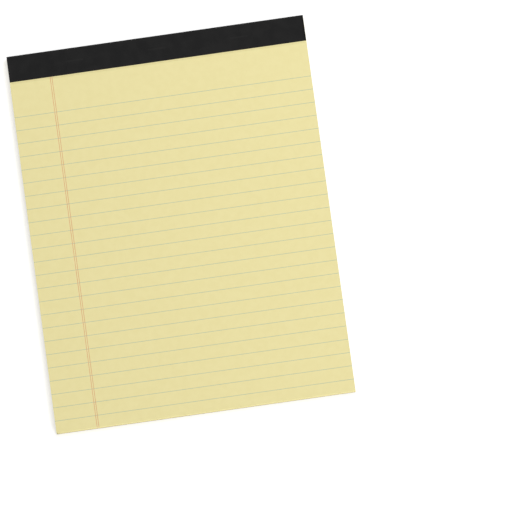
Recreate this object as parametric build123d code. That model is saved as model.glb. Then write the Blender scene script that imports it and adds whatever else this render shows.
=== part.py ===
# Letter-size writing pad, bound at its head: ruled leaves on a chipboard back,
# wire stitched, with a binding tape folded round the head over the stitches.
# Millimetres. +Z is up out of the writing face, +Y runs to the bound head,
# and the origin is the middle of the underside.
from build123d import *
import os

# Leaves: one block, trimmed flush on all four sides
sheet_width = 215.9
sheet_length = 279.4
leaf_thickness = 0.1
leaf_count = 50

# Chipboard back, the same outline as the leaves
board_thickness = 0.9

# Binding tape, folded round the head from the front face to the back,
# where it is pressed into the board until it lies flush
tape_thickness = 0.18
tape_front = 19.05
tape_back = 15.9

# Tear line: a row of slits through every leaf, just below the tape
tear_below_tape = 1.0
slit_length = 1.4
slit_tie = 0.6
slit_width = 0.15

# Printed ruling on the top leaf: lines across the sheet, from the foot up
line_count = 24
line_pitch = 9.8
line_above_foot = 8.5
line_width = 0.35
ink_depth = 0.03

# Printed margin: two lines close together, from foot to head
margin_from_left = 30.0
margin_spacing = 1.3
margin_line_width = 0.35

# Flat wire stitches through leaves and board, pressed flush at the crown and the clinch
stitch_count = 3
stitch_spacing = 60.0
wire_thickness = 0.45
wire_width = 0.8
wire_bend_radius = 0.4
crown_length = 12.0
clinch_length = 4.5
wire_clearance = 0.05

# Heights, from the pad's underside upwards
strip_seat = tape_thickness
board_top = board_thickness
sheets_top = board_top + leaf_thickness * leaf_count

# Lengthwise places: the tape adds its thickness at the head, and covers the stitches
head_y = (sheet_length - tape_thickness) / 2
foot_y = head_y - sheet_length
left_x = -sheet_width / 2
tear_y = head_y - tape_front - tear_below_tape
stitch_y = head_y - tape_front / 2

# How far a cutting tool runs past a face
overrun = 1.0


def slab(length, bottom, top):
    """A flat slab as wide as the pad, from its head down to the given length."""
    body = Box(sheet_width, length, top - bottom, align=(Align.CENTER, Align.MAX, Align.MIN))
    return Pos(0, head_y, bottom) * body


def stitch_band(play):
    """A stitch seen from the foot: a rounded ring of wire, open between its two clinched ends.

    With some play it is the room that the wire takes in the leaves and the board.
    """
    reach = crown_length + 2 * play
    rise = sheets_top - strip_seat + 2 * play
    wall = wire_thickness + 2 * play
    outer = RectangleRounded(reach, rise, wire_bend_radius + wire_thickness + play)
    inner = RectangleRounded(reach - 2 * wall, rise - 2 * wall, wire_bend_radius - play)
    opening = Pos(0, -rise / 2) * Rectangle(crown_length - 2 * (clinch_length + play), 2 * wall)
    return outer - inner - opening


def upright(band, width):
    """A band stood up across the pad at the stitches' height, as wide as the wire or its hole."""
    middle = Pos(0, 0, (strip_seat + sheets_top) / 2)
    return middle * extrude(Plane.XZ * band, width / 2, both=True)


def stitch_wire():
    """One wire stitch, flush with the top leaf and with the board under the tape."""
    return upright(stitch_band(0), wire_width)


def stitch_hole():
    """The room for one stitch: its wire's way through, and grooves that open over its shoulders."""
    width = wire_width + 2 * wire_clearance
    depth = wire_thickness + wire_clearance
    crown = Rectangle(crown_length + 2 * wire_clearance, width)
    clinch = Rectangle(clinch_length + 2 * wire_clearance, width)
    ends = Sketch() + GridLocations(crown_length - clinch_length, 1, 2, 1) * clinch
    crown_groove = Pos(0, 0, sheets_top - depth) * extrude(crown, depth + overrun)
    clinch_grooves = Pos(0, 0, strip_seat - overrun) * extrude(ends, depth + overrun)
    return upright(stitch_band(wire_clearance), width) + crown_groove + clinch_grooves


def tear_slits():
    """The slits of the tear line, spread evenly over the width, with a tie at each side."""
    slit_count = int((sheet_width - slit_tie) / (slit_length + slit_tie))
    slit = Box(slit_length, slit_width, leaf_thickness * leaf_count + 2 * overrun)
    middle = Pos(0, tear_y, (board_top + sheets_top) / 2)
    return middle * GridLocations(slit_length + slit_tie, 1, slit_count, 1) * slit


def ruling():
    """Ink of the ruled lines, before the margin crosses it."""
    line = Box(sheet_width, line_width, ink_depth, align=(Align.CENTER, Align.CENTER, Align.MAX))
    first = foot_y + line_above_foot
    return [Pos(0, first + k * line_pitch, sheets_top) * line for k in range(line_count)]


def margin():
    """Ink of the two margin lines, the length of the sheet."""
    line = Box(margin_line_width, sheet_length, ink_depth, align=(Align.CENTER, Align.MAX, Align.MAX))
    middle = left_x + margin_from_left
    return [Pos(middle + side * margin_spacing / 2, head_y, sheets_top) * line for side in (-1, 1)]


def folded_tape():
    """The binding tape: one strip folded square round the head, its outer corners rounded."""
    outer_head = head_y + tape_thickness
    outer_top = sheets_top + tape_thickness
    outline = Polyline(
        (head_y - tape_front, sheets_top),
        (head_y, sheets_top),
        (head_y, strip_seat),
        (head_y - tape_back, strip_seat),
        (head_y - tape_back, 0),
        (outer_head, 0),
        (outer_head, outer_top),
        (head_y - tape_front, outer_top),
        close=True,
    )
    profile = make_face(outline)
    folds = profile.vertices().group_by(Axis.X)[-1]
    profile = fillet(folds, tape_thickness)
    return extrude(Plane.YZ * profile, sheet_width / 2, both=True)


stitch_steps = [k - (stitch_count - 1) / 2 for k in range(stitch_count)]
stitch_places = [Pos(step * stitch_spacing, stitch_y, 0) for step in stitch_steps]
stitches = [place * stitch_wire() for place in stitch_places]
holes = [place * stitch_hole() for place in stitch_places]
slits = tear_slits()
ruled_ink = ruling()
margin_ink = margin()

block = slab(sheet_length, board_top, sheets_top)
sheets = block - ruled_ink - margin_ink - slits - holes
board = slab(sheet_length, 0, board_top) - slab(tape_back, 0, strip_seat)
backing_board = board - holes
ruled_lines = Part() + ruled_ink - margin_ink
margin_lines = Part() + margin_ink - slits
binding_tape = folded_tape()

nodes = {
    "sheets": sheets,
    "backing_board": backing_board,
    "binding_tape": binding_tape,
    "ruled_lines": ruled_lines,
    "margin_lines": margin_lines,
}
for number, stitch in enumerate(stitches, 1):
    nodes[f"wire_stitch_{number}"] = stitch

os.makedirs("parts", exist_ok=True)
for name, shape in nodes.items():
    export_step(shape, f"parts/{name}.step")
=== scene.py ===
# Looks of the writing pad: yellow leaves and their cut edges, printed ruling,
# chipboard back, wire stitches and the black tape folded round the head.
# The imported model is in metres. Sizes of shapes and patterns are in mm, and MM turns them.
import math
import bpy
import numpy as np
from mathutils import Matrix, Vector


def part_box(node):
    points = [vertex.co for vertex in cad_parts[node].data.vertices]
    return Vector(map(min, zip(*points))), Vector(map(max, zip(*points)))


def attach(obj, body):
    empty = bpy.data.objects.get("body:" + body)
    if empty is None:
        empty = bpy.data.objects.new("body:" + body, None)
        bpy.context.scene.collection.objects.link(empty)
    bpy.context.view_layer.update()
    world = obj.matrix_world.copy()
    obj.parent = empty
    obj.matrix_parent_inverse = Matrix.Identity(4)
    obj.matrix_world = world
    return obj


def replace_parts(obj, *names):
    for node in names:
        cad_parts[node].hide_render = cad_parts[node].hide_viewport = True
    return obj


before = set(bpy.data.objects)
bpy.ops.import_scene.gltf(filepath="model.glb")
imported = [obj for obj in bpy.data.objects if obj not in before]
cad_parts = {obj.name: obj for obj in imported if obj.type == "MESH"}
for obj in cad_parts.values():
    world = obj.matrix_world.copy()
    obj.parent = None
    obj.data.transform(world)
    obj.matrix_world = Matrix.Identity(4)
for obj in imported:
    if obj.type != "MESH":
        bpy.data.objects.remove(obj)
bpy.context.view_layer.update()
MM = 0.001

# Leaves (mm): how far their cut edges stand out of the block, and how evenly
LEAF_COUNT = 50
EDGE_STEP = 3.0
LEAF_STAND = 0.012
LEAF_SPREAD = 0.022
LEAF_SWAY = 0.004
LEAF_SWAY_LENGTH = 160.0
SEAM_STAND = 0.004
TEAR_BELOW_TAPE = 1.0
BURR_REACH = (0.05, 0.45)

# Each leaf's ledge between two seams and its drift up and down, as shares of its thickness,
# with the drift's longest waves (mm): partly of all leaves together, partly of each alone
LEDGE_FROM = 0.2
LEDGE_TO = 0.8
SHARED_DRIFT = 0.3
SHARED_DRIFT_LENGTH = 210.0
OWN_DRIFT = 0.12
OWN_DRIFT_LENGTH = 70.0

# Tone of the cut edges, from below 0 in a seam, where it is painted shade between the leaves, to 1 on the
# palest leaf
LEAF_TONE = 0.62
LEAF_TONE_SPREAD = 0.6
GATHER_TONE = 0.05
GATHER_STEP = 4.0
GATHER_LENGTH = 60.0
# Seam tones: painted shade between the leaves, darker than any leaf
SEAM_SHADE_TONE = 0.2
SEAM_SHADE_SPREAD = 0.8

# Ruling as printed (mm), and the ticks that it leaves on the cut edges
LINE_PITCH = 9.8
LINE_WIDTH = 0.35
PRINT_SHIFT = 0.5
TICK_REACH = (0.1, 0.32)
TICK_COVER = 0.24
RULING_SPARE = 1.0

# How near a face a place lies to count as on it (mm)
ON_FACE = 0.001

# Tape (mm)
TAPE_THICKNESS = 0.18
TAPE_FRONT = 19.05
TAPE_BACK = 15.9
OUTER_FOLD = 0.3
INNER_FOLD = 0.02

# The tape's cut front edge (mm): its top lies back and down, the inner line lies inside it, and
# what lies within its reach of the front follows a slow wave
CUT_BACK = 0.03
CUT_DOWN = 0.04
CUT_INSIDE = 0.02
CUT_REACH = 0.04
CUT_WAVE = 0.03
CUT_WAVE_LENGTH = 48.0

# Waves of the tape (mm): their height, then for each its longest length across the pad and the
# length over two pi of its sine down the tape. They fade out some way from an edge, over a stretch
TAPE_WAVE = 0.012
LONG_WAVE = (60.0, 3.1)
SHORT_WAVE = (23.0, 1.9)
HEAD_WAVE = (35.0, 0.9)
HEAD_WAVE_SHARE = 1.5
TOP_FADE = (1.2, 1.0)
HEAD_FADE = (0.7, 0.4)

# Rub of the tape: its strength and its reach (mm), at the folds and at the front edge's top
FOLD_RUB = (0.6, 0.45)
FRONT_RUB = (0.25, 0.18)
FRONT_RUB_DEPTH = 0.1
CROWN_RUB = 0.16

# Points of the tape's section and across the pad, and more of them round a stitch (mm from it)
TOP_POINTS = 22
FOLD_POINTS = 8
HEAD_POINTS = 12
UNDER_POINTS = 24
ACROSS_POINTS = 96
ROUND_STITCH_DOWN = np.linspace(-2.2, 2.2, 23)
ROUND_STITCH_ACROSS = np.linspace(-8.5, 8.5, 35)

# Wire stitches felt through the tape (mm): half sizes along and across the wire, and their slopes
CROWN_RISE = 0.11
CROWN_HALF = (5.7, 0.3)
CROWN_SLOPE = (1.5, 0.7)
CLINCH_PRESS = 0.03
CLINCH_FROM_MIDDLE = 3.75
CLINCH_HALF = (2.0, 0.3)
CLINCH_SLOPE = (0.9, 0.8)

# Seeds of the random draws
LEAF_SEED = 11
TAPE_SEED = 23

# Patterns of the finishes: the span that holds nearly all of a soft noise, the turns of the
# stock's fibres (degrees), the sway and the soft rim of its flecks (mm, and shares of their
# spacing), and how far a knife mark is drawn out up the cut
NOISE_SPAN = (0.3, 0.7)
FIBRE_TURNS = (12.0, 74.0, 131.0)
FLECK_SWAY = 1.1
FLECK_RIM = (-0.05, 0.06)
KNIFE_DRAW = 0.06

# Colours, linear
PAPER_PALE = (0.831, 0.749, 0.384)
PAPER_DEEP = (0.804, 0.719, 0.356)
# Cut edges: paler partly as cut paper is, and partly painted light for the brighter lit sides
PAPER_EDGE_PALE_AND_LIT = (0.885, 0.815, 0.440)
# Painted shade in the seams between the leaves
PAPER_SEAM_SHADE = (0.500, 0.410, 0.130)
RULING_GREEN = (0.412, 0.515, 0.390)
MARGIN_RED = (0.690, 0.300, 0.140)
BOARD_GREY = (0.365, 0.305, 0.230)
BOARD_DARK = (0.235, 0.190, 0.140)
BOARD_LIGHT = (0.520, 0.460, 0.370)
FLECK_DARK = (0.090, 0.070, 0.055)
FLECK_PALE = (0.640, 0.590, 0.500)
TAPE_BLACK = (0.0070, 0.0070, 0.0072)
TAPE_RUBBED = (0.036, 0.035, 0.034)
WIRE_BRIGHT = (0.560, 0.570, 0.580)
WIRE_CLOUDY = (0.420, 0.430, 0.440)
FLOOR_WHITE = (0.860, 0.860, 0.860)
WHITE = (1.0, 1.0, 1.0, 1.0)

# Camera (metres): its place is given by the point it looks at, and by angles and a distance
CAMERA_AIM = (0.05069, -0.03197, 0.00595)
CAMERA_AZIMUTH = math.radians(3.515)
CAMERA_ELEVATION = math.radians(77.049)
CAMERA_ROLL = math.radians(-11.505)
CAMERA_DISTANCE = 7.0
CAMERA_SIGHT = 100.0

# Lens and sensor (mm)
CAMERA_LENS = 686.38
SENSOR_WIDTH = 36.0

# Light and floor (metres)
ROOM_LEVEL = 0.54
FRONT_LAMP_PLACE = (0.90, -1.75, 0.62)
FRONT_LAMP_SIZE = 1.1
FRONT_LAMP_POWER = 22.0
BACK_LAMP_PLACE = (0.44, 0.52, 1.07)
BACK_LAMP_SIZE = 0.8
BACK_LAMP_POWER = 6.7
FLOOR_REACH = 12.0
FLOOR_DROP = 0.0001
FLOOR_LIFT_NEAR = 0.40
FLOOR_LIFT_FROM = 0.2
FLOOR_LIFT_TO = 0.7


def box_in_mm(node):
    """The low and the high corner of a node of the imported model."""
    return tuple(np.array(corner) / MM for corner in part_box(node))


# Node tools

def add(tree, kind, inputs=None, **settings):
    """Adds a node. Settings are its own properties; inputs are values, or sockets to link from."""
    made = tree.nodes.new(kind)
    for name, value in settings.items():
        setattr(made, name, value)
    for name, value in (inputs or {}).items():
        if isinstance(value, bpy.types.NodeSocket):
            tree.links.new(value, made.inputs[name])
        else:
            made.inputs[name].default_value = value
    return made


def calc(tree, operation, first, second=0.0, third=0.0, clamp=False):
    """One step of arithmetic on values; returns the result's socket."""
    inputs = {0: first, 1: second, 2: third}
    return add(tree, "ShaderNodeMath", inputs, operation=operation, use_clamp=clamp).outputs[0]


def times(tree, first, second):
    """One value times another."""
    return calc(tree, "MULTIPLY", first, second)


def larger(tree, first, second):
    """The larger of two values."""
    return calc(tree, "MAXIMUM", first, second)


def apart(tree, first, second):
    """How far apart two values are."""
    return calc(tree, "ABSOLUTE", calc(tree, "SUBTRACT", first, second))


def between(tree, value, low, high, to_low=0.0, to_high=1.0):
    """The value's place between low and high, eased, as a share from to_low to to_high."""
    inputs = {"Value": value, "From Min": low, "From Max": high, "To Min": to_low, "To Max": to_high}
    made = add(tree, "ShaderNodeMapRange", inputs, interpolation_type="SMOOTHSTEP")
    return made.outputs["Result"]


def mixed(tree, share, first, second):
    """Two colours mixed by a share from 0 to 1; returns the colour's socket."""
    made = add(tree, "ShaderNodeMix", data_type="RGBA")
    for place, value in ((0, share), (6, first), (7, second)):
        if isinstance(value, bpy.types.NodeSocket):
            tree.links.new(value, made.inputs[place])
        else:
            made.inputs[place].default_value = value if place == 0 else (*value, 1.0)
    return made.outputs[2]


def noise(tree, place, per_mm, detail, roughness=0.5, distortion=0.0):
    """Noise over a place in mm, with so many swells to the mm; returns the node's outputs."""
    inputs = {"Vector": place, "Scale": per_mm, "Detail": detail}
    inputs.update({"Roughness": roughness, "Distortion": distortion})
    return add(tree, "ShaderNodeTexNoise", inputs).outputs


def vector_step(tree, operation, **inputs):
    """One step of arithmetic on vectors; the inputs are called a, b, c and scale."""
    places = {"a": 0, "b": 1, "c": 2, "scale": "Scale"}
    given = {places[name]: value for name, value in inputs.items()}
    return add(tree, "ShaderNodeVectorMath", given, operation=operation)


def place_in_mm(tree):
    """The piece's own coordinates, in millimetres."""
    own = add(tree, "ShaderNodeTexCoord").outputs["Object"]
    return vector_step(tree, "SCALE", a=own, scale=1.0 / MM).outputs[0]


def new_group(name, takes, gives):
    """An empty node group: takes is {input: value}, gives is a list of outputs, all plain values."""
    group = bpy.data.node_groups.new(name, "ShaderNodeTree")
    for label, value in takes.items():
        socket = group.interface.new_socket(label, in_out="INPUT", socket_type="NodeSocketFloat")
        socket.default_value = value
    for label in gives:
        group.interface.new_socket(label, in_out="OUTPUT", socket_type="NodeSocketFloat")
    return group, group.nodes.new("NodeGroupInput"), group.nodes.new("NodeGroupOutput")


def use_group(tree, group, **values):
    """Places a group in a material; the values' names are its inputs' with _ for a space."""
    made = tree.nodes.new("ShaderNodeGroup")
    made.node_tree = group
    for name, value in values.items():
        made.inputs[name.replace("_", " ").capitalize()].default_value = value
    return made.outputs


# Effects that several finishes share

def pressed_fibres():
    """Felted paper stock: cloudy formation, crossing fibres and the fine tooth of the surface.

    Clouds is soft noise. Fibres is noise stretched along three directions, of which the thin
    ridges near its middle value are kept. Tooth is fine noise. Sizes are in mm.
    """
    takes = {"Cloud size": 6.0, "Fibre length": 1.8, "Fibre width": 0.06, "Tooth size": 0.12}
    group, given, result = new_group("pressed_fibres", takes, ["Clouds", "Fibres", "Tooth"])
    place = place_in_mm(group)
    per = {label: calc(group, "DIVIDE", 1.0, given.outputs[label]) for label in takes}
    stretch = {0: per["Fibre length"], 1: per["Fibre width"], 2: per["Fibre width"]}
    drawn_out = add(group, "ShaderNodeCombineXYZ", stretch).outputs[0]
    fibres = 0.0
    for turn in FIBRE_TURNS:
        angle = {"Vector": place, "Angle": math.radians(turn)}
        turned = add(group, "ShaderNodeVectorRotate", angle, rotation_type="Z_AXIS").outputs[0]
        along_fibre = vector_step(group, "MULTIPLY", a=turned, b=drawn_out).outputs[0]
        strands = noise(group, along_fibre, per_mm=0.35, detail=1.0, distortion=0.4)[0]
        ridges = between(group, apart(group, strands, 0.5), 0.0, 0.05, 1.0, 0.0)
        fibres = larger(group, fibres, ridges)
    clouds = noise(group, place, per["Cloud size"], detail=4.0, roughness=0.55)[0]
    tooth = noise(group, place, per["Tooth size"], detail=3.0, roughness=0.6)[0]
    group.links.new(clouds, result.inputs["Clouds"])
    group.links.new(fibres, result.inputs["Fibres"])
    group.links.new(tooth, result.inputs["Tooth"])
    return group


def strewn_flecks():
    """Specks strewn through the stock: torn patches round scattered points.

    A place is swayed by noise, then its distance to the nearest point is set against a reach
    that grows with the square of that point's random value.
    """
    group, given, result = new_group("strewn_flecks", {"Spacing": 3.0, "Size": 0.25}, ["Mask"])
    place = place_in_mm(group)
    sway = noise(group, place, per_mm=2.4, detail=4.0, roughness=0.7)[1]
    swayed = vector_step(group, "MULTIPLY_ADD", a=sway, b=(FLECK_SWAY,) * 3, c=place).outputs[0]
    per_cell = calc(group, "DIVIDE", 1.0, given.outputs["Spacing"])
    cells = add(group, "ShaderNodeTexVoronoi", {"Vector": swayed, "Scale": per_cell}).outputs
    pick = add(group, "ShaderNodeSeparateColor", {0: cells["Color"]}).outputs[0]
    reach = times(group, given.outputs["Size"], times(group, pick, pick))
    inside = calc(group, "SUBTRACT", reach, cells["Distance"])
    group.links.new(between(group, inside, *FLECK_RIM), result.inputs["Mask"])
    return group


def knife_marks():
    """Marks of the guillotine: noise that changes along the cut and hardly at all up it."""
    group, given, result = new_group("knife_marks", {"Mark spacing": 0.8}, ["Marks"])
    drawn_up = vector_step(group, "MULTIPLY", a=place_in_mm(group), b=(1.0, 1.0, KNIFE_DRAW)).outputs[0]
    per_mark = calc(group, "DIVIDE", 1.0, given.outputs["Mark spacing"])
    marks = noise(group, drawn_up, per_mark, detail=5.0, roughness=0.7)[0]
    group.links.new(between(group, marks, 0.35, 0.68), result.inputs["Marks"])
    return group


FIBRES = pressed_fibres()
FLECKS = strewn_flecks()
KNIFE = knife_marks()


# Finishes

def new_finish(name, roughness, gloss):
    """An empty material, with the plain roughness and specular level of its surface."""
    finish = bpy.data.materials.new(name)
    finish.use_nodes = True
    shader = finish.node_tree.nodes["Principled BSDF"]
    shader.inputs["Roughness"].default_value = roughness
    shader.inputs["Specular IOR Level"].default_value = gloss
    return finish, finish.node_tree, shader


def raise_surface(tree, shader, height, depth, strength):
    """Bump from a height of 0 to 1 that stands for a depth in mm."""
    inputs = {"Height": height, "Distance": depth * MM, "Strength": strength}
    tree.links.new(add(tree, "ShaderNodeBump", inputs).outputs[0], shader.inputs["Normal"])


def stock_colour(tree, stock):
    """Yellow of the leaves: deeper in the clouds of the formation and along the fibres."""
    cloudy = times(tree, between(tree, stock["Clouds"], *NOISE_SPAN), 0.6)
    deep = calc(tree, "MULTIPLY_ADD", stock["Fibres"], 0.22, cloudy, clamp=True)
    return mixed(tree, deep, PAPER_PALE, PAPER_DEEP)


def leaf_paper():
    """Top leaf: uncoated yellow paper, with the sheet pushed up a little along the tear line."""
    finish, tree, shader = new_finish("sheet_paper", roughness=0.85, gloss=0.25)
    stock = use_group(tree, FIBRES, cloud_size=5.0, fibre_length=1.6, fibre_width=0.05, tooth_size=0.14)
    tree.links.new(stock_colour(tree, stock), shader.inputs["Base Color"])
    tree.links.new(between(tree, stock["Tooth"], *NOISE_SPAN, 0.78, 0.92), shader.inputs["Roughness"])
    along = add(tree, "ShaderNodeSeparateXYZ", {0: place_in_mm(tree)}).outputs[1]
    tear_line = box_in_mm("sheets")[1][1] - TAPE_FRONT - TEAR_BELOW_TAPE
    burr = between(tree, apart(tree, along, tear_line), *BURR_REACH, 1.0, 0.0)
    tooth = calc(tree, "MULTIPLY_ADD", stock["Fibres"], 0.25, stock["Tooth"])
    raise_surface(tree, shader, calc(tree, "MULTIPLY_ADD", burr, 1.5, tooth), depth=0.02, strength=0.6)
    return finish


def ruled_ticks(tree, across, along, shift):
    """Where the ruled lines run off a leaf's side: near whole pitches, within the ruling."""
    (_, first, _), (_, last, _) = box_in_mm("ruled_lines")
    right = box_in_mm("sheets")[1][0]
    from_first = calc(tree, "SUBTRACT", calc(tree, "ADD", along, shift), first + LINE_WIDTH / 2)
    pitches = calc(tree, "PINGPONG", calc(tree, "DIVIDE", from_first, LINE_PITCH), 0.5)
    tick = between(tree, times(tree, pitches, LINE_PITCH), *TICK_REACH, TICK_COVER, 0.0)
    from_middle = apart(tree, along, (first + last) / 2)
    in_ruling = calc(tree, "LESS_THAN", from_middle, (last - first) / 2 + RULING_SPARE)
    at_side = calc(tree, "GREATER_THAN", calc(tree, "ABSOLUTE", across), right - ON_FACE)
    return times(tree, tick, times(tree, in_ruling, at_side))


def margin_ticks(tree, across, along, shift):
    """Where the margin lines run off a leaf's foot: half their distance to either side of their middle."""
    (low, _, _), (high, _, _) = box_in_mm("margin_lines")
    foot = box_in_mm("sheets")[0][1]
    from_middle = apart(tree, calc(tree, "ADD", across, shift), (low + high) / 2)
    from_line = apart(tree, from_middle, (high - low - LINE_WIDTH) / 2)
    tick = between(tree, from_line, *TICK_REACH, TICK_COVER, 0.0)
    return times(tree, tick, calc(tree, "LESS_THAN", along, foot + ON_FACE))


def cut_paper():
    """Cut edges of the leaves: paler than their faces, partly as painted light on the lit sides, with
    painted shade in the seams, knife marked.

    Each printed line that runs off a leaf leaves a faint tick on its edge, the ruled lines at
    both sides and the margin lines at the foot. The print sits a little off from leaf to leaf.
    """
    finish, tree, shader = new_finish("cut_paper", roughness=0.9, gloss=0.15)
    # This tone carries each leaf's own tone and the painted shade of the seams
    tone = add(tree, "ShaderNodeAttribute", attribute_name="leaf_tone_and_seam_shade").outputs["Fac"]
    print_place = add(tree, "ShaderNodeAttribute", attribute_name="print_shift").outputs["Fac"]
    stock = use_group(tree, FIBRES, cloud_size=9.0, fibre_length=1.2, fibre_width=0.08, tooth_size=0.2)
    marks = use_group(tree, KNIFE, mark_spacing=0.7)["Marks"]
    # Painted shade in the seams between leaves; the edge colour is paler partly as painted light on the
    # lit sides
    edge = mixed(tree, between(tree, tone, SEAM_SHADE_TONE - SEAM_SHADE_SPREAD, 1.0), PAPER_SEAM_SHADE, PAPER_EDGE_PALE_AND_LIT)
    scored = mixed(tree, times(tree, marks, 0.18), edge, PAPER_DEEP)
    across, along, _ = add(tree, "ShaderNodeSeparateXYZ", {0: place_in_mm(tree)}).outputs
    shift = calc(tree, "MULTIPLY_ADD", print_place, PRINT_SHIFT, -0.5 * PRINT_SHIFT)
    ruled = mixed(tree, ruled_ticks(tree, across, along, shift), scored, RULING_GREEN)
    printed = mixed(tree, margin_ticks(tree, across, along, shift), ruled, MARGIN_RED)
    tree.links.new(printed, shader.inputs["Base Color"])
    rise = calc(tree, "MULTIPLY_ADD", marks, 0.6, stock["Tooth"])
    raise_surface(tree, shader, rise, depth=0.03, strength=0.5)
    return finish


def printed_ink(name, ink):
    """Thin ink on the leaf: it covers less where the paper's tooth is low, so the line is not even."""
    finish, tree, shader = new_finish(name, roughness=0.75, gloss=0.3)
    stock = use_group(tree, FIBRES, cloud_size=3.5, fibre_length=1.6, fibre_width=0.05, tooth_size=0.14)
    patchy = calc(tree, "MULTIPLY_ADD", stock["Clouds"], 0.5, times(tree, stock["Tooth"], 0.5))
    cover = between(tree, patchy, 0.35, 0.6, 0.82, 1.0)
    tree.links.new(mixed(tree, cover, stock_colour(tree, stock), ink), shader.inputs["Base Color"])
    raise_surface(tree, shader, stock["Tooth"], depth=0.02, strength=0.5)
    return finish


def chipboard():
    """Grey-brown board of recycled stock: clouded, hairy with fibres, flecked dark and light."""
    finish, tree, shader = new_finish("chipboard", roughness=0.9, gloss=0.2)
    stock = use_group(tree, FIBRES, cloud_size=7.0, fibre_length=1.7, fibre_width=0.1, tooth_size=0.3)
    loose = use_group(tree, FIBRES, cloud_size=1.3, fibre_length=1.5, fibre_width=0.09, tooth_size=0.3)
    dark = use_group(tree, FLECKS, spacing=1.7, size=0.24)["Mask"]
    pale = use_group(tree, FLECKS, spacing=2.3, size=0.22)["Mask"]
    marks = use_group(tree, KNIFE, mark_spacing=0.9)["Marks"]
    clouded = mixed(tree, between(tree, stock["Clouds"], *NOISE_SPAN, 0.0, 0.24), BOARD_GREY, BOARD_DARK)
    hairy = mixed(tree, times(tree, stock["Fibres"], 0.34), clouded, BOARD_LIGHT)
    tufts = between(tree, loose["Clouds"], 0.52, 0.62, 0.0, 0.38)
    strewn = mixed(tree, times(tree, loose["Fibres"], tufts), hairy, FLECK_DARK)
    grainy = mixed(tree, between(tree, stock["Tooth"], 0.35, 0.75, 0.0, 0.35), strewn, BOARD_DARK)
    flecked = mixed(tree, times(tree, dark, 0.6), grainy, FLECK_DARK)
    speckled = mixed(tree, times(tree, pale, 0.5), flecked, FLECK_PALE)
    tree.links.new(speckled, shader.inputs["Base Color"])
    hairs = calc(tree, "MULTIPLY_ADD", stock["Fibres"], 0.5, stock["Tooth"])
    rise = calc(tree, "MULTIPLY_ADD", marks, 0.3, hairs)
    raise_surface(tree, shader, rise, depth=0.06, strength=0.6)
    return finish


def tape_cloth():
    """Black binding tape: paper-backed, with a fine pebble grain, greyer and smoother where rubbed."""
    finish, tree, shader = new_finish("binding_tape", roughness=0.62, gloss=0.1)
    rub = add(tree, "ShaderNodeAttribute", attribute_name="rub").outputs["Fac"]
    stock = use_group(tree, FIBRES, cloud_size=8.0, fibre_length=1.4, fibre_width=0.07, tooth_size=0.22)
    grain = {"Vector": place_in_mm(tree), "Scale": 2.0, "Smoothness": 0.6}
    pebbles = add(tree, "ShaderNodeTexVoronoi", grain, feature="SMOOTH_F1").outputs["Distance"]
    domed = between(tree, pebbles, 0.1, 0.7, 1.0, 0.0)
    uneven = between(tree, stock["Clouds"], *NOISE_SPAN, 0.0, 0.12)
    worn = times(tree, rub, between(tree, stock["Tooth"], 0.35, 0.65, 0.35, 1.0))
    ground = mixed(tree, uneven, TAPE_BLACK, TAPE_RUBBED)
    strands = mixed(tree, times(tree, stock["Fibres"], 0.08), ground, TAPE_RUBBED)
    tree.links.new(mixed(tree, worn, strands, TAPE_RUBBED), shader.inputs["Base Color"])
    matt = between(tree, stock["Tooth"], *NOISE_SPAN, 0.58, 0.72)
    tree.links.new(calc(tree, "MULTIPLY_ADD", worn, -0.18, matt), shader.inputs["Roughness"])
    rise = calc(tree, "MULTIPLY_ADD", stock["Tooth"], 0.6, domed)
    raise_surface(tree, shader, rise, depth=0.05, strength=0.7)
    return finish


def drawn_wire():
    """Galvanised flat wire: drawn lines along it, cloudy zinc."""
    finish, tree, shader = new_finish("stitching_wire", roughness=0.35, gloss=0.5)
    shader.inputs["Metallic"].default_value = 1.0
    stock = use_group(tree, FIBRES, cloud_size=1.4, fibre_length=6.0, fibre_width=0.05, tooth_size=0.1)
    zinc = mixed(tree, between(tree, stock["Clouds"], *NOISE_SPAN), WIRE_BRIGHT, WIRE_CLOUDY)
    tree.links.new(zinc, shader.inputs["Base Color"])
    tree.links.new(between(tree, stock["Clouds"], *NOISE_SPAN, 0.28, 0.48), shader.inputs["Roughness"])
    raise_surface(tree, shader, stock["Fibres"], depth=0.005, strength=0.4)
    return finish


# Shapes

def grid_faces(rows, columns, ring=False):
    """Quads of a grid of points numbered row by row; a ring joins its last row to its first."""
    row = np.arange(rows if ring else rows - 1)[:, None]
    column = np.arange(columns - 1)[None, :]
    here = row * columns + column
    above = ((row + 1) % rows) * columns + column
    return np.stack([here, here + 1, above + 1, above], axis=-1).reshape(-1, 4)


def new_piece(name, points, faces, finish, shares):
    """Makes a mesh piece from points in mm and quads, with its named shares from 0 to 1 per point."""
    mesh = bpy.data.meshes.new(name)
    mesh.vertices.add(len(points))
    mesh.vertices.foreach_set("co", (points * MM).astype(np.float32).ravel())
    mesh.loops.add(faces.size)
    mesh.loops.foreach_set("vertex_index", faces.astype(np.int32).ravel())
    mesh.polygons.add(len(faces))
    mesh.polygons.foreach_set("loop_start", np.arange(0, faces.size, 4, dtype=np.int32))
    mesh.update(calc_edges=True)
    for label, values in shares.items():
        share = mesh.attributes.new(label, "FLOAT", "POINT")
        share.data.foreach_set("value", values.astype(np.float32).ravel())
    mesh.materials.append(finish)
    piece = bpy.data.objects.new(name, mesh)
    bpy.context.scene.collection.objects.link(piece)
    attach(piece, "root")
    return piece


def slow_waves(rng, rows, along, longest):
    """For each row its own gentle wave along a path, from -1 to 1: four sines with random phases."""
    lengths = longest / np.array([1.0, 1.9, 3.3, 6.1])
    weights = np.array([1.0, 0.8, 0.5, 0.3])
    phases = rng.uniform(0.0, 2.0 * np.pi, (rows, 1, 4))
    waves = np.sin(2.0 * np.pi * along[None, :, None] / lengths + phases) * weights
    return waves.sum(axis=2) / weights.sum()


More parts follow.
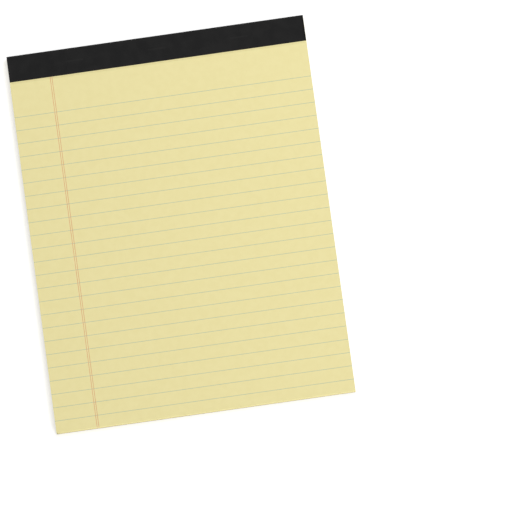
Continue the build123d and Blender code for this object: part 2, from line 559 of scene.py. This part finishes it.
def flat_top(distance, reach, slope):
    """1 within the reach, falling smoothly to 0 over the slope beyond it."""
    share = np.clip((np.abs(distance) - reach) / slope, 0.0, 1.0)
    return 1.0 - share * share * (3.0 - 2.0 * share)


def profile_rows(seam, lower, upper, top):
    """Rows up the leaves' profile: seam, lower and upper row of each leaf, its last row again, the top."""
    rows = np.stack([seam, lower, upper], axis=1).reshape(-1, seam.shape[-1])
    return np.concatenate([rows, upper[-1:], top])


def leaf_edges():
    """Cut edges of all the leaves, on the left side, the foot and the right side.

    A profile of one small ledge per leaf is carried along the outline, from the head down the
    left, over the foot and up the right. A leaf stands out by its own amount plus a slow wave,
    its height drifts a little along the path, and each seam between two leaves is set back.
    """
    rng = np.random.default_rng(LEAF_SEED)
    low, high = box_in_mm("sheets")
    side = np.linspace(high[1], low[1], int((high[1] - low[1]) / EDGE_STEP) + 1)
    foot = np.linspace(low[0], high[0], int((high[0] - low[0]) / EDGE_STEP) + 1)[1:-1]
    left, middle = np.ones_like(side), np.ones_like(foot)
    x = np.concatenate([low[0] * left, foot, high[0] * left])
    y = np.concatenate([side, low[1] * middle, side[::-1]])
    out_x = np.concatenate([-left, 0 * middle, left])
    out_y = -np.isclose(y, low[1]).astype(float)
    along = np.concatenate([[0.0], np.cumsum(np.hypot(np.diff(x), np.diff(y)))])
    ends = np.clip(np.minimum(along, along[-1] - along), 0.0, 1.0)
    leaf = np.arange(LEAF_COUNT)[:, None]
    thickness = (high[2] - low[2]) / LEAF_COUNT
    own = rng.random((LEAF_COUNT, 1)) ** 2
    sway = slow_waves(rng, LEAF_COUNT, along, LEAF_SWAY_LENGTH)
    stand = LEAF_STAND + LEAF_SPREAD * own + LEAF_SWAY * sway
    together = slow_waves(rng, 1, along, SHARED_DRIFT_LENGTH)
    alone = slow_waves(rng, LEAF_COUNT, along, OWN_DRIFT_LENGTH)
    drift = SHARED_DRIFT * together + OWN_DRIFT * alone
    bottom = low[2] + thickness * (leaf + drift * np.sin(np.pi * leaf / LEAF_COUNT))
    top = np.full((1, x.size), high[2])
    heights = profile_rows(bottom, bottom + LEDGE_FROM * thickness, bottom + LEDGE_TO * thickness, top)
    heights[-2] = high[2]
    stands = profile_rows(np.full_like(stand, SEAM_STAND), stand, stand, 0 * top) * ends
    points = np.stack([x + out_x * stands, y + out_y * stands, heights], axis=-1)
    gathers = slow_waves(rng, 1, GATHER_STEP * leaf[:, 0], GATHER_LENGTH)[0]
    own_tone = LEAF_TONE + LEAF_TONE_SPREAD * (rng.random(LEAF_COUNT) - 0.5)
    tone = np.clip(own_tone + GATHER_TONE * gathers, 0.0, 1.0)
    # Each seam's tone: painted shade between two leaves
    seam = SEAM_SHADE_TONE - SEAM_SHADE_SPREAD * rng.random(LEAF_COUNT) ** 1.5
    shift = rng.random(LEAF_COUNT)
    seam, tone, shift = (values[:, None] * np.ones_like(x) for values in (seam, tone, shift))
    shares = {
        # Leaf tones, with the painted shade of the seams
        "leaf_tone_and_seam_shade": profile_rows(seam, tone, tone, tone[-1:]),
        "print_shift": profile_rows(shift, shift, shift, shift[-1:]),
    }
    faces = grid_faces(len(heights), x.size)
    return new_piece("leaf_edges", points.reshape(-1, 3), faces, cut_paper(), shares)


def fold(centre, start, radius):
    """Points of a quarter turn about a centre, from the start angle in degrees on by less."""
    angle = np.radians(np.linspace(start, start - 90.0, FOLD_POINTS)[1:])
    return np.stack([centre[0] + radius * np.cos(angle), centre[1] + radius * np.sin(angle)], axis=-1)


def run(first, last, steps):
    """Points from first to last at the given shares of the way."""
    return np.array(first) + (np.array(last) - np.array(first)) * np.asarray(steps)[:, None]


def tape_line(front, back, head, top, under, radius, top_steps):
    """One line of the tape's section, as points (y, z).

    It runs from the front edge over the top, round the upper fold, down the head, round the
    lower fold and back underneath. Both folds are quarter turns of the radius.
    """
    turn = head - radius
    return np.concatenate([
        run((front, top), (turn, top), top_steps),
        fold((turn, top - radius), 90.0, radius),
        run((head, top - radius), (head, under + radius), np.linspace(0, 1, HEAD_POINTS))[1:],
        fold((turn, under + radius), 0.0, radius),
        run((turn, under), (back, under), np.linspace(0, 1, UNDER_POINTS))[1:],
    ])


def tape_section(front, head, back, top, under, stitch_y):
    """The outer and the inner line of the tape's section, point by point a thickness apart.

    The front edge is cut slightly slanting, and the points lie closer over the stitches.
    """
    over_stitch = (stitch_y + ROUND_STITCH_DOWN - front) / (head - OUTER_FOLD - front)
    steps = np.unique(np.concatenate([np.linspace(0, 1, TOP_POINTS), over_stitch]))
    in_head, in_top, in_under = head - TAPE_THICKNESS, top - TAPE_THICKNESS, under + TAPE_THICKNESS
    outer = np.concatenate([
        [(front, in_top), (front, top - CUT_DOWN)],
        tape_line(front + CUT_BACK, back, head, top, under, OUTER_FOLD, steps),
        [(back, under + TAPE_THICKNESS / 2)],
    ])
    in_front, in_back = front + (CUT_BACK + CUT_INSIDE), back + CUT_INSIDE
    inner = np.concatenate([
        [(front + CUT_INSIDE / 2, in_top + CUT_INSIDE / 2), (front + CUT_INSIDE, in_top)],
        tape_line(in_front, in_back, in_head, in_top, in_under, INNER_FOLD, steps),
        [(back, in_under)],
    ])
    return outer, inner


def rubbed(distance, strength, reach):
    """Rub at a distance from where it is worst: a bell curve of this strength and reach."""
    return strength * np.exp(-((distance / reach) ** 2))


def folded_tape():
    """The binding tape: its section is carried across the pad.

    Quads between the outer and the inner line close the tape's cut ends. The top rises over
    each stitch's crown by a flat-topped hump, the underside is pressed in over the clinched
    ends, and all runs have slow waves of a hundredth of a millimetre or so.
    """
    rng = np.random.default_rng(TAPE_SEED)
    low, high = box_in_mm("binding_tape")
    block_head = box_in_mm("sheets")[1][1]
    front, head, back = block_head - TAPE_FRONT, high[1], block_head - TAPE_BACK
    top, under = high[2], low[2]
    stitches = [np.mean(box_in_mm(f"wire_stitch_{k}"), axis=0) for k in (1, 2, 3)]
    stitch_y = stitches[0][1]
    outer, inner = tape_section(front, head, back, top, under, stitch_y)
    near = np.concatenate([stitch[0] + ROUND_STITCH_ACROSS for stitch in stitches])
    x = np.unique(np.round(np.concatenate([np.linspace(low[0], high[0], ACROSS_POINTS), near]), 3))
    y, z = (np.broadcast_to(outer[:, axis, None], (len(outer), x.size)) for axis in (0, 1))

    over_wire = sum(flat_top(x - s[0], CROWN_HALF[0], CROWN_SLOPE[0]) for s in stitches)[None, :]
    hump = over_wire * flat_top(y - stitch_y, CROWN_HALF[1], CROWN_SLOPE[1])
    from_clinch = [np.abs(x - s[0]) - CLINCH_FROM_MIDDLE for s in stitches]
    clinch = sum(flat_top(d, CLINCH_HALF[0], CLINCH_SLOPE[0]) for d in from_clinch)[None, :]
    over_clinch = clinch * flat_top(y - stitch_y, CLINCH_HALF[1], CLINCH_SLOPE[1])
    pressed = (z < under + ON_FACE) * over_clinch
    from_middle, half = y - (front + head) / 2, TAPE_FRONT / 2
    on_top = (z > top - ON_FACE) * flat_top(from_middle, half - TOP_FADE[0], TOP_FADE[1])
    long_wave = slow_waves(rng, 1, x, LONG_WAVE[0]) * np.sin(y / LONG_WAVE[1])
    short_wave = slow_waves(rng, 1, x, SHORT_WAVE[0]) * np.cos(y / SHORT_WAVE[1])
    top_wave = TAPE_WAVE * (long_wave + short_wave)
    from_middle, half = z - (top + under) / 2, (top - under) / 2
    on_head = (y > head - ON_FACE) * flat_top(from_middle, half - HEAD_FADE[0], HEAD_FADE[1])
    head_wave = slow_waves(rng, 1, x, HEAD_WAVE[0]) * np.sin(z / HEAD_WAVE[1])
    at_cut = outer[:, 0, None] < front + CUT_REACH
    cut_wave = CUT_WAVE * at_cut * slow_waves(rng, 1, x, CUT_WAVE_LENGTH)
    z = z + on_top * (CROWN_RISE * hump + top_wave) + CLINCH_PRESS * pressed
    y = y + HEAD_WAVE_SHARE * TAPE_WAVE * on_head * head_wave + cut_wave

    outer_points = np.stack([np.broadcast_to(x, y.shape), y, z], axis=-1)
    inner_y, inner_z = (np.broadcast_to(inner[::-1, axis, None], y.shape) for axis in (0, 1))
    inner_points = np.stack([np.broadcast_to(x, y.shape), inner_y, inner_z], axis=-1)
    points = np.concatenate([outer_points, inner_points])
    rows, columns = points.shape[:2]
    row = np.arange(len(outer) - 1)
    partner = rows - 1 - row
    cap = np.stack([row, row + 1, partner - 1, partner], axis=-1) * columns
    wall = grid_faces(rows, columns, ring=True)[:, ::-1]
    faces = np.concatenate([wall, cap, cap[:, ::-1] + columns - 1])

    to_fold = np.minimum(np.hypot(y - head, z - top), np.hypot(y - head, z - under))
    at_front = rubbed(y - front, *FRONT_RUB) * (z > top - FRONT_RUB_DEPTH)
    rub = np.clip(rubbed(to_fold, *FOLD_RUB) + at_front + CROWN_RUB * hump * on_top, 0.0, 1.0)
    shares = {"rub": np.concatenate([rub, np.zeros(inner_y.shape)])}
    tape = new_piece("tape_folded", points.reshape(-1, 3), faces, tape_cloth(), shares)
    tape.data.shade_smooth()
    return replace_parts(tape, "binding_tape")


# Stage, light and camera

def seen_directly(tree):
    """1 for what the camera sees, itself or by way of gloss and glass, and 0 for the light."""
    path = add(tree, "ShaderNodeLightPath").outputs
    by_way = larger(tree, path["Is Glossy Ray"], path["Is Transmission Ray"])
    return larger(tree, path["Is Camera Ray"], by_way)


def white_floor():
    """A pale floor under the pad. The camera sees it lifted to white, with the pad's shadow kept."""
    finish = bpy.data.materials.new("floor_white")
    finish.use_nodes = True
    tree = finish.node_tree
    tree.nodes.remove(tree.nodes["Principled BSDF"])
    matt = add(tree, "ShaderNodeBsdfDiffuse", {"Color": (*FLOOR_WHITE, 1.0)})
    own = add(tree, "ShaderNodeTexCoord").outputs["Object"]
    away = vector_step(tree, "LENGTH", a=own).outputs["Value"]
    rise = between(tree, away, FLOOR_LIFT_FROM, FLOOR_LIFT_TO, FLOOR_LIFT_NEAR, 1.0)
    lift = times(tree, seen_directly(tree), rise)
    glow = add(tree, "ShaderNodeEmission", {"Color": WHITE, "Strength": lift})
    both = add(tree, "ShaderNodeAddShader", {0: matt.outputs[0], 1: glow.outputs[0]})
    tree.links.new(both.outputs[0], tree.nodes["Material Output"].inputs["Surface"])
    square = ((-1, -1), (1, -1), (1, 1), (-1, 1))
    corners = [(FLOOR_REACH * x, FLOOR_REACH * y, -FLOOR_DROP) for x, y in square]
    mesh = bpy.data.meshes.new("floor")
    mesh.from_pydata(corners, [], [(0, 1, 2, 3)])
    mesh.materials.append(finish)
    floor = bpy.data.objects.new("floor", mesh)
    bpy.context.scene.collection.objects.link(floor)


def white_room():
    """The world: even white light, which the camera, gloss and glass see as plain white."""
    world = bpy.data.worlds.new("white_room")
    world.use_nodes = True
    tree = world.node_tree
    dim = tree.nodes["Background"]
    dim.inputs["Color"].default_value = WHITE
    dim.inputs["Strength"].default_value = ROOM_LEVEL
    plain = add(tree, "ShaderNodeBackground", {"Color": WHITE, "Strength": 1.0})
    either = {0: seen_directly(tree), 1: dim.outputs[0], 2: plain.outputs[0]}
    both = add(tree, "ShaderNodeMixShader", either)
    tree.links.new(both.outputs[0], tree.nodes["World Output"].inputs["Surface"])
    bpy.context.scene.world = world


def soft_lamp(name, place, size, power):
    """A square soft box that faces the pad."""
    lamp = bpy.data.lights.new(name, "AREA")
    lamp.size = size
    lamp.energy = power
    holder = bpy.data.objects.new(name, lamp)
    holder.location = place
    holder.rotation_euler = (-Vector(place)).to_track_quat("-Z", "Y").to_euler()
    bpy.context.scene.collection.objects.link(holder)


def photo_camera():
    """The camera: turned round the point it looks at by azimuth, elevation and roll."""
    lens = bpy.data.cameras.new("camera")
    lens.lens = CAMERA_LENS
    lens.sensor_width = SENSOR_WIDTH
    lens.clip_end = CAMERA_SIGHT
    camera = bpy.data.objects.new("camera", lens)
    aim = Matrix.Translation(CAMERA_AIM)
    turn = Matrix.Rotation(CAMERA_AZIMUTH, 4, "Z")
    tilt = Matrix.Rotation(math.pi / 2 - CAMERA_ELEVATION, 4, "X")
    roll = Matrix.Rotation(CAMERA_ROLL, 4, "Z")
    camera.matrix_world = aim @ turn @ tilt @ roll @ Matrix.Translation((0.0, 0.0, CAMERA_DISTANCE))
    bpy.context.scene.collection.objects.link(camera)
    bpy.context.scene.camera = camera


def refinish(node, finish):
    """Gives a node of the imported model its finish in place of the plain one."""
    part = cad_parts[node]
    part.data.materials.clear()
    part.data.materials.append(finish)


refinish("sheets", leaf_paper())
refinish("ruled_lines", printed_ink("ruling_ink", RULING_GREEN))
refinish("margin_lines", printed_ink("margin_ink", MARGIN_RED))
refinish("backing_board", chipboard())
wire = drawn_wire()
for number in (1, 2, 3):
    refinish(f"wire_stitch_{number}", wire)
leaf_edges()
folded_tape()

white_floor()
white_room()
soft_lamp("front_lamp", FRONT_LAMP_PLACE, FRONT_LAMP_SIZE, FRONT_LAMP_POWER)
soft_lamp("back_lamp", BACK_LAMP_PLACE, BACK_LAMP_SIZE, BACK_LAMP_POWER)
photo_camera()
bpy.context.scene.view_settings.view_transform = "Standard"
